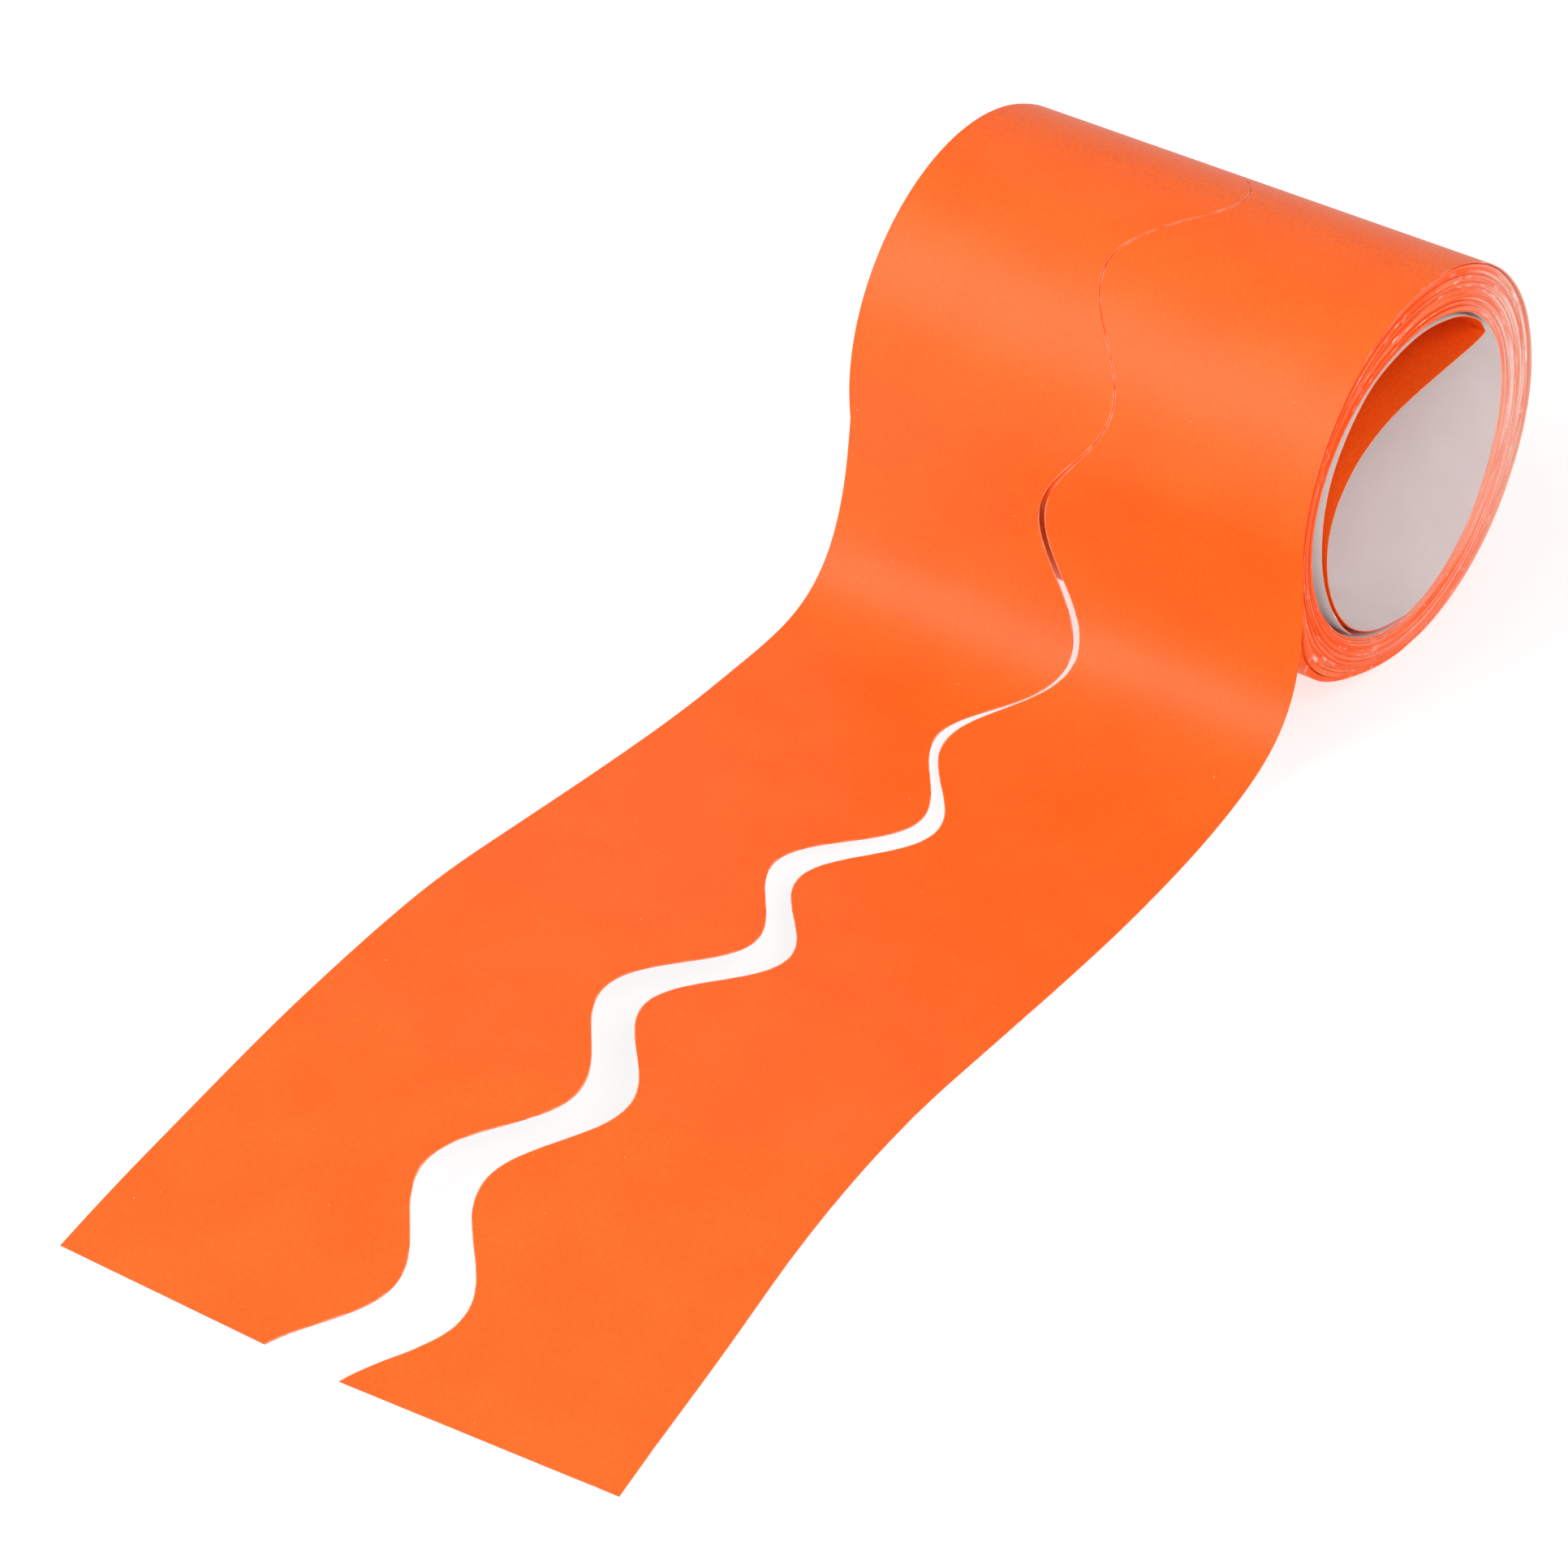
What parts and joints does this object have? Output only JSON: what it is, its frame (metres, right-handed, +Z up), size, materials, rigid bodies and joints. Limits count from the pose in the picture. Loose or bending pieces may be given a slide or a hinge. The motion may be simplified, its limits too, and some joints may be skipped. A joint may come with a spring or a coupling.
{
  "type": "roll of wave-cut display border paper",
  "caption": "Coreless roll of coloured display border paper, slit along a wavy line into side-by-side strips whose loose ends run out over the table.",
  "frame": {"origin": "on the surface that the roll rests on, straight under its axis, on the mean line of the wavy cut", "axes": "+X along the roll's axis from the left strip to the right strip, +Z up, and the loose ends run out towards -Y"},
  "size_m": [0.1199, 0.3182, 0.0806],
  "materials": {
    "left_strip": "matte",
    "right_strip": "matte"
  },
  "bodies": {
    "right_coil": {"right_coil": "right_strip", "right_inner_turn": "right_strip", "right_lead": "right_strip"},
    "right_tail": {"right_tail": "right_strip"},
    "right_tip": {"right_tip": "right_strip"},
    "left_coil": {"left_coil": "left_strip", "left_inner_turn": "left_strip", "left_lead": "left_strip"},
    "left_tail": {"left_tail": "left_strip"},
    "left_tip": {"left_tip": "left_strip"}
  },
  "joints": [
    {"name": "left_coil_slide", "type": "slide", "parent": "right_coil", "child": "left_coil", "axis": [-1, 0, 0], "range_m": [0, 0.06]},
    {"name": "right_tail_lift", "type": "hinge", "parent": "right_coil", "child": "right_tail", "pos_m": [0.02682, -0.06441, 0.00291], "axis": [-0.9969, -0.0784, 0], "range_deg": [0, 60]},
    {"name": "right_tip_lift", "type": "hinge", "parent": "right_tail", "child": "right_tip", "pos_m": [0.03566, -0.17433, 0.01136], "axis": [-0.9968, -0.0802, 0], "range_deg": [0, 70]},
    {"name": "left_tail_lift", "type": "hinge", "parent": "left_coil", "child": "left_tail", "pos_m": [-0.02521, -0.06571, 0.00189], "axis": [-0.9999, -0.0102, 0], "range_deg": [0, 60]},
    {"name": "left_tip_lift", "type": "hinge", "parent": "left_tail", "child": "left_tip", "pos_m": [-0.02405, -0.17622, 0.01074], "axis": [-0.9999, -0.0105, 0], "range_deg": [0, 70]}
  ]
}
